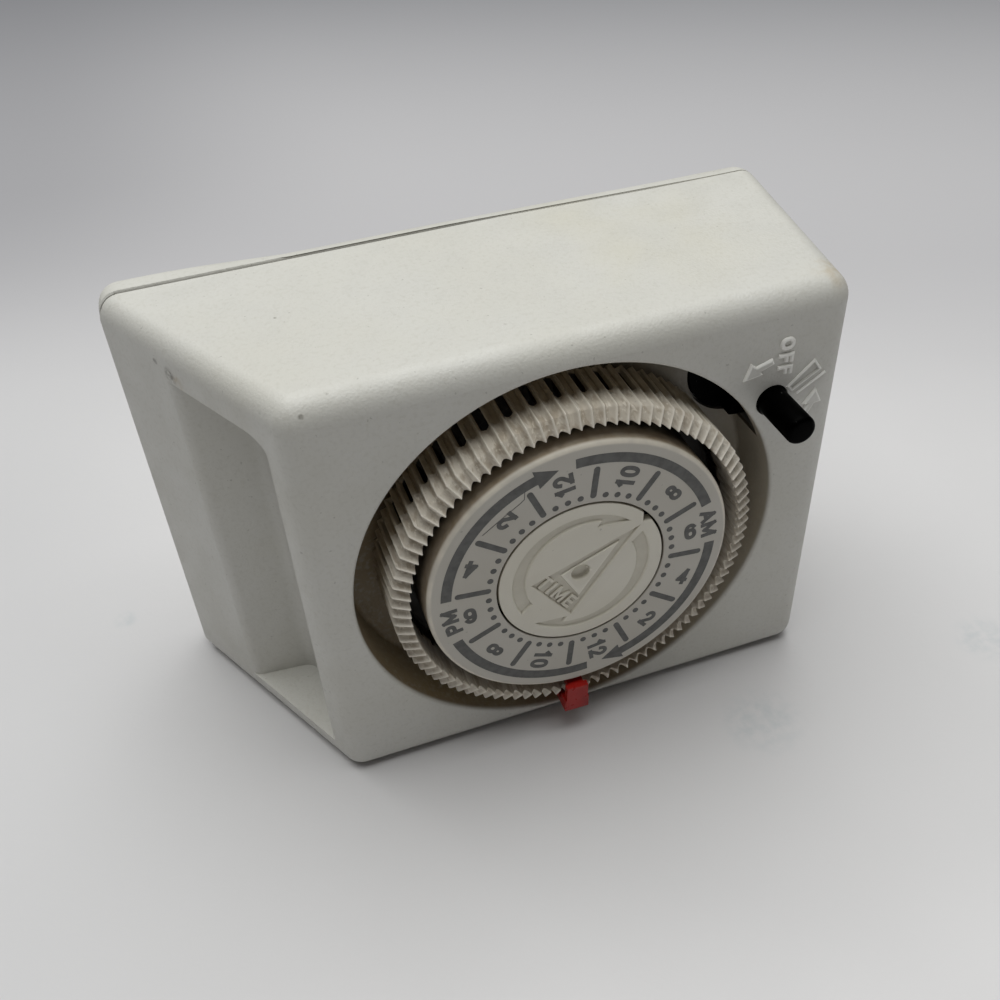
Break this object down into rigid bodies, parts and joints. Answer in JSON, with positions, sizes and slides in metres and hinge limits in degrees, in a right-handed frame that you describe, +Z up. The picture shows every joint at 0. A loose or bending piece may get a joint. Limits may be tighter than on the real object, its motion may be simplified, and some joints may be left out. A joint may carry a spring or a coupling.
{
  "type": "plug-in timer switch",
  "caption": "Plug-in mains timer: tapered white body, ridged 24-hour dial in a round well, red tripper clip, black override knob, grounded plug on the back, socket in the side it stands on.",
  "frame": {"origin": "centre of the long side that the timer stands on, midway across and midway from the front face to the back face", "axes": "+X to the right along the front face, +Y from the dial to the plug, +Z up"},
  "size_m": [0.1106, 0.0749, 0.0768],
  "materials": {
    "shell_plastic": "moulded, fine satin grain",
    "rim_plastic": "moulded, slightly aged",
    "printed_plate": "satin with printed figures",
    "hub_plastic": "satin, embossed",
    "knob_black": "glossy",
    "tripper_red": "satin gloss",
    "socket_plastic": "satin",
    "contact_brass": "stamped sheet",
    "spring_copper": "rolled sheet",
    "steel": "zinc plated",
    "gear_nylon": "natural nylon",
    "switch_phenolic": "moulded phenolic",
    "coil_copper": "enamelled wire",
    "rotor_magnet": "sintered",
    "lead_black": "insulated wire",
    "silver_contact": "rivet"
  },
  "bodies": {
    "housing": {"front_housing": "shell_plastic", "back_cover": "shell_plastic", "cover_screws": "steel", "receptacle_face": "socket_plastic", "line_blade": "contact_brass", "neutral_blade": "contact_brass", "ground_pin": "contact_brass", "line_strap": "contact_brass", "neutral_strap": "contact_brass", "ground_strap": "contact_brass", "load_strap": "contact_brass", "line_contact": "spring_copper", "neutral_contact": "spring_copper", "ground_contact": "spring_copper", "mechanism_plate": "steel", "plate_screws": "steel", "dial_spindle": "steel", "hub_cap": "hub_plastic", "idler_post": "steel", "motor_plate": "steel", "motor_screws": "steel", "motor_can": "steel", "motor_coil": "coil_copper", "motor_leads": "lead_black", "detent_spring": "steel", "switch_base": "switch_phenolic", "fixed_contact": "silver_contact"},
    "dial": {"dial_rim": "rim_plastic", "dial_plate": "printed_plate", "dial_gear": "gear_nylon", "clutch_spring": "steel"},
    "tripper": {"off_tripper": "tripper_red"},
    "idler": {"idler_gear": "gear_nylon"},
    "motor_output": {"motor_pinion": "contact_brass", "motor_rotor": "rotor_magnet"},
    "trip": {"trip_wheel": "knob_black", "switch_cam": "gear_nylon"},
    "arm": {"contact_arm": "spring_copper", "moving_contact": "silver_contact"}
  },
  "joints": [
    {"name": "dial_spin", "type": "hinge", "parent": "housing", "child": "dial", "pos_m": [0.0051, -0.0228, 0.0376], "axis": [0, 1, 0], "continuous": true},
    {"name": "idler_spin", "type": "hinge", "parent": "housing", "child": "idler", "pos_m": [-0.01463, -0.0068, 0.04478], "axis": [0, 1, 0], "continuous": true},
    {"name": "motor_spin", "type": "hinge", "parent": "housing", "child": "motor_output", "pos_m": [-0.02713, -0.0028, 0.04478], "axis": [0, 1, 0], "continuous": true},
    {"name": "trip_turn", "type": "hinge", "parent": "housing", "child": "trip", "pos_m": [0.03799, -0.0228, 0.05855], "axis": [0, -1, 0], "continuous": true},
    {"name": "tripper_pull", "type": "slide", "parent": "dial", "child": "tripper", "axis": [0, -1, 0], "range_m": [0, 0.014]},
    {"name": "contact_close", "type": "hinge", "parent": "housing", "child": "arm", "pos_m": [0.01909, -0.0062, 0.06385], "axis": [0, -1, 0], "range_deg": [0, 2.2], "stiffness_Nm_per_rad": 0.02}
  ],
  "couplings": [
    {"joint": "idler_spin", "follows": "dial_spin", "ratio": -6},
    {"joint": "motor_spin", "follows": "dial_spin", "ratio": 24}
  ]
}
